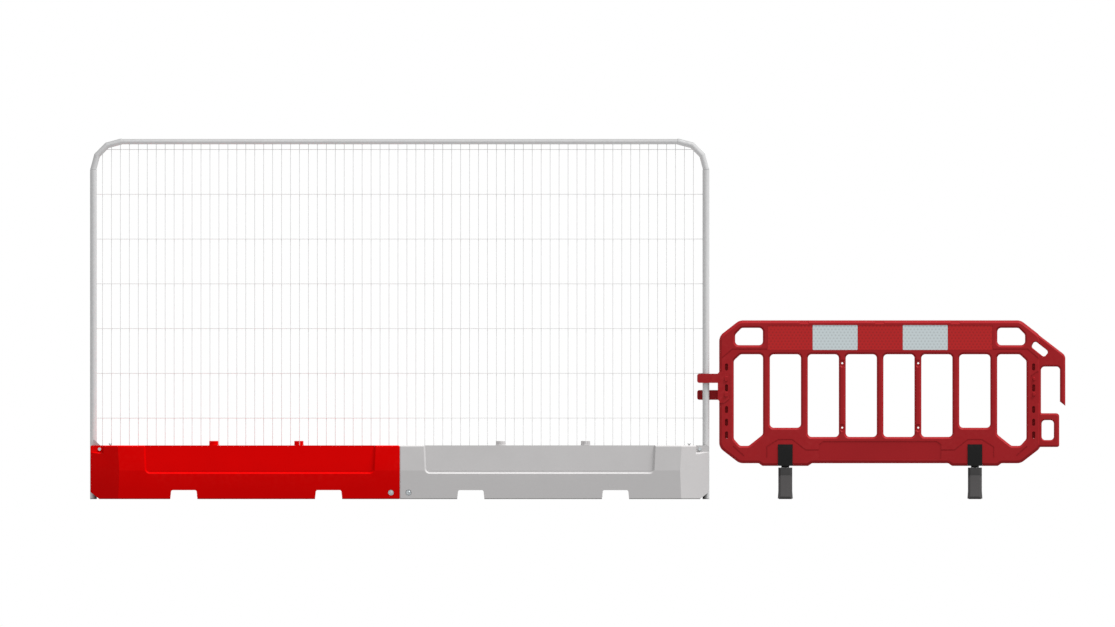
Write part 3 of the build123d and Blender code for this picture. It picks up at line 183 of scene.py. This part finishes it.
def galvanised(name, light, dark, roughness, metallic, specular=0.25):
    """Zinc spangle with streaks, painted shade on faces turned up, painted light on faces turned down, and a
    painted shadow at the posts' inner feet.
    """
    material, tree, shader = new_material(name, roughness, metallic, specular)
    cells = add(tree, "ShaderNodeTexVoronoi", {"Vector": place(tree), "Scale": 120.0})
    shade = add(tree, "ShaderNodeSeparateColor", {"Color": cells.outputs["Color"]}).outputs["Red"]
    streaks = noise(tree, 9.0, 5.0, stretch=(1.0, 1.0, 0.2))
    blend = math_node(tree, "MULTIPLY_ADD", shade, 0.5)
    tree.links.new(remap(tree, streaks, 0.3, 0.7, 0.0, 0.5), blend.node.inputs[2])
    base = mix_colour(tree, blend, light, dark)
    # Painted light and shade: faces turned up are darkened and faces turned down are brightened, by their normal
    normal = add(tree, "ShaderNodeNewGeometry").outputs["Normal"]
    facing_up = add(tree, "ShaderNodeSeparateXYZ", {"Vector": normal}).outputs["Z"]
    painted_top_shade = remap(tree, facing_up, 0.0, 0.9, 0.0, 1.0)
    base = mix_colour(tree, painted_top_shade, base, tuple(c * 0.44 for c in light))
    painted_underside_light = remap(tree, facing_up, -0.8, 0.0, 1.0, 0.0)
    base = mix_colour(tree, painted_underside_light, base, tuple(c * 1.35 for c in light))
    # Painted shadow: near black low down on the inner side of each post, where it stands in the block's notch
    spot = add(tree, "ShaderNodeSeparateXYZ", {"Vector": place(tree)})
    off_centre = math_node(tree, "ABSOLUTE", math_node(tree, "SUBTRACT", spot.outputs["X"], FENCE_CENTRE_X))
    inner = remap(tree, off_centre, FENCE_HALF - 0.032, FENCE_HALF - 0.008, 1.0, 0.0)
    low = remap(tree, spot.outputs["Z"], 0.03, 0.055, 1.0, 0.0)
    base = mix_colour(tree, math_node(tree, "MULTIPLY", inner, low), base, (0.03, 0.03, 0.03))
    tree.links.new(base, shader.inputs["Base Color"])
    tree.links.new(remap(tree, shade, 0.0, 1.0, roughness - 0.06, roughness + 0.1), shader.inputs["Roughness"])
    bump(tree, shader, noise(tree, 400.0, 3.0), 0.0002, 0.3)
    return material


def sheeting(name, colour, dot, pitch_x=0.020, pitch_z=0.0165, dot_radius=0.0052):
    """Reflective sheeting with staggered round cells under a clear face."""
    material, tree, shader = new_material(name, 0.35, 0.0, 0.1)
    parts = add(tree, "ShaderNodeSeparateXYZ", {"Vector": place(tree)})
    rows = math_node(tree, "DIVIDE", parts.outputs["Z"], pitch_z)
    odd_row = math_node(tree, "FLOORED_MODULO", math_node(tree, "FLOOR", rows), 2.0)
    stagger = math_node(tree, "MULTIPLY", odd_row, 0.5)
    columns = math_node(tree, "ADD", math_node(tree, "DIVIDE", parts.outputs["X"], pitch_x), stagger)
    u = math_node(tree, "MULTIPLY", math_node(tree, "SUBTRACT", math_node(tree, "FRACT", columns), 0.5), pitch_x)
    v = math_node(tree, "MULTIPLY", math_node(tree, "SUBTRACT", math_node(tree, "FRACT", rows), 0.5), pitch_z)
    flat = add(tree, "ShaderNodeCombineXYZ", {"X": u, "Y": v})
    distance = add(tree, "ShaderNodeVectorMath", {0: flat.outputs[0]}, operation="LENGTH").outputs["Value"]
    cell = remap(tree, distance, dot_radius * 0.8, dot_radius * 1.15, 1.0, 0.0)
    base = mix_colour(tree, cell, colour, dot)
    glints = remap(tree, noise(tree, 700.0, 1.0), 0.5, 0.75, 0.0, 0.25)
    base = mix_colour(tree, glints, base, tuple(min(1.0, c * 1.15) for c in colour))
    tree.links.new(base, shader.inputs["Base Color"])
    shader.inputs["Coat Weight"].default_value = 0.08
    shader.inputs["Coat Roughness"].default_value = 0.2
    bump(tree, shader, cell, 0.0003, 0.6)
    return material


def fastener_metal(name, light, dark, roughness=0.32):
    material, tree, shader = new_material(name, roughness, 0.85)
    base = mix_colour(tree, remap(tree, noise(tree, 130.0, 4.0), 0.35, 0.7, 0.0, 1.0), light, dark)
    tree.links.new(base, shader.inputs["Base Color"])
    bump(tree, shader, noise(tree, 900.0, 2.0), 0.0001, 0.4)
    return material


def rubber(name, colour):
    material, tree, shader = new_material(name, 0.85)
    dusty = tuple(c * 2.2 + 0.01 for c in colour)
    base = mix_colour(tree, remap(tree, noise(tree, 45.0, 5.0), 0.5, 0.75, 0.0, 0.5), colour, dusty)
    tree.links.new(base, shader.inputs["Base Color"])
    bump(tree, shader, noise(tree, 500.0, 3.0), 0.0006, 0.6)
    return material


def floor_material():
    material, tree, shader = new_material("floor_pale", 0.9)
    base = mix_colour(tree, noise(tree, 0.8, 2.0), (0.80, 0.80, 0.80), (0.83, 0.83, 0.83))
    tree.links.new(base, shader.inputs["Base Color"])
    return material


MATERIALS = {
    # The blocks' last factor sets how dark their painted shade low down is
    "red_block_plastic": moulded_plastic("block_red", (0.565, 0.0, 0.0), (0.66, 0.02, 0.015), 0.5, specular=0.02,
                                         low_painted_shade=0.86),
    "white_block_plastic": moulded_plastic("block_white", (0.46, 0.45, 0.45), (0.53, 0.53, 0.52), 0.5,
                                           low_painted_shade=0.97),
    "barrier_plastic": moulded_plastic("barrier_red", (0.296, 0.0125, 0.0155), (0.40, 0.05, 0.05), 0.48,
                                       specular=0.06),
    "black_plastic": moulded_plastic("black_nylon", (0.0105, 0.0105, 0.0105), (0.035, 0.035, 0.035), 0.55,
                                     specular=0.1),
    "foot_plastic": moulded_plastic("foot_grey", (0.040, 0.039, 0.039), (0.085, 0.08, 0.078), 0.75, grain=350.0,
                                    grain_depth=0.0006),
    "galvanised_steel": galvanised("galvanised_tube", (0.56, 0.56, 0.56), (0.49, 0.49, 0.495), 0.55, 0.12),
    "gusset_steel": galvanised("galvanised_gusset", (0.36, 0.36, 0.365), (0.30, 0.30, 0.305), 0.6, 0.12),
    "wire": galvanised("galvanised_wire", (0.68, 0.67, 0.67), (0.60, 0.60, 0.60), 0.55, 0.05),
    "zinc_fasteners": fastener_metal("zinc_plate", (0.66, 0.70, 0.72), (0.50, 0.54, 0.56)),
    "spring_steel": fastener_metal("spring_steel", (0.10, 0.10, 0.10), (0.05, 0.05, 0.05), 0.45),
    "seal_rubber": rubber("black_rubber", (0.012, 0.012, 0.012)),
    "red_sheeting": sheeting("sheet_red", (0.40, 0.0135, 0.0145), (0.31, 0.013, 0.014)),
    "white_sheeting": sheeting("sheet_white", (0.50, 0.56, 0.575), (0.42, 0.465, 0.475)),
    "bush_nylon": moulded_plastic("natural_nylon", (0.6, 0.58, 0.5), (0.7, 0.68, 0.6), 0.45),
    "water": moulded_plastic("ballast_water", (0.5, 0.6, 0.62), (0.6, 0.7, 0.72), 0.15),
}


def dress_nodes():
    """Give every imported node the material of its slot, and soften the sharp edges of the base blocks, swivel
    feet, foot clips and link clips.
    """
    bevels = {"swivel_foot": 0.0025, "foot_clip": 0.0018, "link_clip": 0.0015, "base_block": 0.0015}
    slots = {part["node"]: part["material_slot"] for part in frame["record"]["subparts"]}
    for node, slot in slots.items():
        piece = bpy.data.objects[node]
        piece.data.materials.clear()
        piece.data.materials.append(MATERIALS[slot])
        for prefix, width in bevels.items():
            if node.startswith(prefix) and not node.endswith("pegs"):
                modifier = piece.modifiers.new("soft_edges", "BEVEL")
                modifier.width = width
                modifier.segments = 2
                modifier.limit_method = "ANGLE"
                modifier.angle_limit = math.radians(35)
                modifier.harden_normals = True


def light_and_camera():
    bpy.context.scene.view_settings.view_transform = "Standard"
    world = bpy.data.worlds.new("studio")
    bpy.context.scene.world = world
    world.use_nodes = True
    tree = world.node_tree
    tree.nodes.clear()
    direction = add(tree, "ShaderNodeTexCoord").outputs["Generated"]
    height = add(tree, "ShaderNodeSeparateXYZ", {"Vector": direction}).outputs["Z"]
    strength = remap(tree, height, -1.0, 1.0, SKY_MEAN - SKY_SLOPE, SKY_MEAN + SKY_SLOPE)
    fill = add(tree, "ShaderNodeBackground", {"Color": (1.0, 1.0, 1.0, 1), "Strength": strength})
    backdrop = add(tree, "ShaderNodeBackground", {"Color": (1, 1, 1, 1), "Strength": 1.0})
    seen = add(tree, "ShaderNodeLightPath").outputs["Is Camera Ray"]
    mix = add(tree, "ShaderNodeMixShader", {0: seen, 1: fill.outputs[0], 2: backdrop.outputs[0]})
    add(tree, "ShaderNodeOutputWorld", {"Surface": mix.outputs[0]})

    key = bpy.data.lights.new("key", "SUN")
    key.energy = KEY_ENERGY
    key.angle = math.radians(20)
    key_object = bpy.data.objects.new("key", key)
    key_object.rotation_euler = (-Vector(KEY_FROM)).to_track_quat("-Z", "Y").to_euler()
    bpy.context.collection.objects.link(key_object)

    camera = bpy.data.cameras.new("camera")
    camera.type = "ORTHO"
    camera.ortho_scale = VIEW_WIDTH
    camera.clip_end = 100.0
    camera_object = bpy.data.objects.new("camera", camera)
    camera_object.location = (VIEW_X, -VIEW_DISTANCE, VIEW_Z)
    camera_object.rotation_euler = (math.radians(90), 0, 0)
    bpy.context.collection.objects.link(camera_object)
    bpy.context.scene.camera = camera_object


def mesh_object(name, verts, faces, material, body):
    mesh = bpy.data.meshes.new(name)
    mesh.from_pydata(verts, [], faces)
    mesh.validate()
    mesh.update()
    mesh.polygons.foreach_set("use_smooth", [True] * len(mesh.polygons))
    piece = bpy.data.objects.new(name, mesh)
    bpy.context.collection.objects.link(piece)
    mesh.materials.append(MATERIALS[material])
    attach(piece, body)


def lump(verts, faces, centre, size, sides=8, rings=4):
    """Add a closed ellipsoid to a mesh's lists."""
    start = len(verts)
    cx, cy, cz = centre
    verts.append((cx, cy, cz + size[2]))
    for ring in range(1, rings):
        tilt = math.pi * ring / rings
        for side in range(sides):
            turn = 2 * math.pi * side / sides
            verts.append((cx + size[0] * math.sin(tilt) * math.cos(turn),
                          cy + size[1] * math.sin(tilt) * math.sin(turn),
                          cz + size[2] * math.cos(tilt)))
    verts.append((cx, cy, cz - size[2]))
    last = len(verts) - 1
    for side in range(sides):
        after = (side + 1) % sides
        faces.append((start, start + 1 + side, start + 1 + after))
        for ring in range(rings - 2):
            a = start + 1 + ring * sides
            b = a + sides
            faces.append((a + side, b + side, b + after, a + after))
        a = start + 1 + (rings - 2) * sides
        faces.append((a + side, last, a + after))


def bead(verts, faces, points, radius, closed, sides=8):
    """Add a rippled weld bead that follows a line of points."""
    start = len(verts)
    count = len(points)
    path = [Vector(point) for point in points]
    askew = Vector((0.31, 0.87, 0.38))
    for index, point in enumerate(path):
        before = path[index - 1] if index or closed else point
        after = path[(index + 1) % count] if index < count - 1 or closed else point
        along = (after - before).normalized()
        side_way = along.cross(askew).normalized()
        up_way = along.cross(side_way)
        ripple = radius * (1.0 + BEAD_RIPPLE * math.sin(index * BEAD_RIPPLE_STEP))
        for side in range(sides):
            turn = 2 * math.pi * side / sides
            spot = point + ripple * (math.cos(turn) * side_way + math.sin(turn) * up_way)
            verts.append(tuple(spot))
    for index in range(count if closed else count - 1):
        a = start + index * sides
        b = start + ((index + 1) % count) * sides
        for side in range(sides):
            after = (side + 1) % sides
            faces.append((a + side, a + after, b + after, b + side))
    if not closed:
        faces.append(tuple(start + side for side in reversed(range(sides))))
        faces.append(tuple(start + (count - 1) * sides + side for side in range(sides)))


def ring_points(centre, axis, radius, count=64):
    """Points on a circle round the X or the Z axis."""
    points = []
    for step in range(count):
        turn = 2 * math.pi * step / count
        across, up = radius * math.cos(turn), radius * math.sin(turn)
        offset = (across, up, 0.0) if axis == "Z" else (0.0, across, up)
        points.append(tuple(c + o for c, o in zip(centre, offset)))
    return points


def mesh_welds():
    """Nuggets where the mesh wires cross and at the ends of the wires."""
    verts, faces = [], []
    rows = [TOP_ROW_Z - index * ROW_PITCH for index in range(ROW_COUNT)]
    for index in range(WIRE_COUNT):
        x = FIRST_WIRE_X + index * WIRE_PITCH
        edge = min(x - FENCE_LEFT_X, FENCE_RIGHT_X - x)
        for z in rows:
            if z < BEND_START_Z or edge > BEND_END_X / 2:
                lump(verts, faces, (x, 0.0, z), NUGGET_SIZE)
        lump(verts, faces, (x, WIRE_RADIUS, BOTTOM_RAIL_Z + RAIL_RADIUS), NUGGET_SIZE)
        if edge > BEND_END_X:
            lump(verts, faces, (x, WIRE_RADIUS, TOP_RAIL_Z - RAIL_RADIUS), NUGGET_SIZE)
    for z in rows[1:]:
        for x in (FENCE_LEFT_X + 2 * POST_RADIUS, FENCE_RIGHT_X - 2 * POST_RADIUS):
            lump(verts, faces, (x, -WIRE_RADIUS, z), NUGGET_SIZE)
    mesh_object("mesh_weld_nuggets", verts, faces, "wire", "root")


def frame_welds():
    """Rippled beads round the tube joints of the frame and down the left gusset's edges."""
    verts, faces = [], []
    for side, edge in ((1, FENCE_LEFT_X), (-1, FENCE_RIGHT_X)):
        post_x = edge + side * POST_RADIUS
        rings = (
            ((post_x, 0.0, POST_BEAD_Z), "Z", POST_BEAD_RADIUS),
            ((edge + side * RAIL_BEAD_X, 0.0, TOP_RAIL_Z), "X", RAIL_BEAD_RADIUS),
            ((post_x + side * BOTTOM_BEAD_OFFSET, 0.0, BOTTOM_RAIL_Z), "X", RAIL_RADIUS),
        )
        for centre, axis, radius in rings:
            bead(verts, faces, ring_points(centre, axis, radius), BEAD_RADIUS, True)
    for y in (-GUSSET_BEAD_Y, GUSSET_BEAD_Y):
        line = [(FENCE_LEFT_X + POST_RADIUS, y, GUSSET_BEAD_Z + GUSSET_BEAD_STEP * step)
                for step in range(GUSSET_BEAD_COUNT)]
        bead(verts, faces, line, BEAD_RADIUS, False)
    mesh_object("frame_weld_beads", verts, faces, "galvanised_steel", "root")


def make_floor():
    half = FLOOR_SIZE / 2
    mesh = bpy.data.meshes.new("floor")
    corners = [(-half, -half, 0), (half, -half, 0), (half, half, 0), (-half, half, 0)]
    mesh.from_pydata(corners, [], [(0, 1, 2, 3)])
    floor = bpy.data.objects.new("floor", mesh)
    mesh.materials.append(floor_material())
    bpy.context.collection.objects.link(floor)
    floor.visible_diffuse = False
    floor.visible_glossy = False


light_and_camera()
make_floor()
dress_nodes()
mesh_welds()
frame_welds()
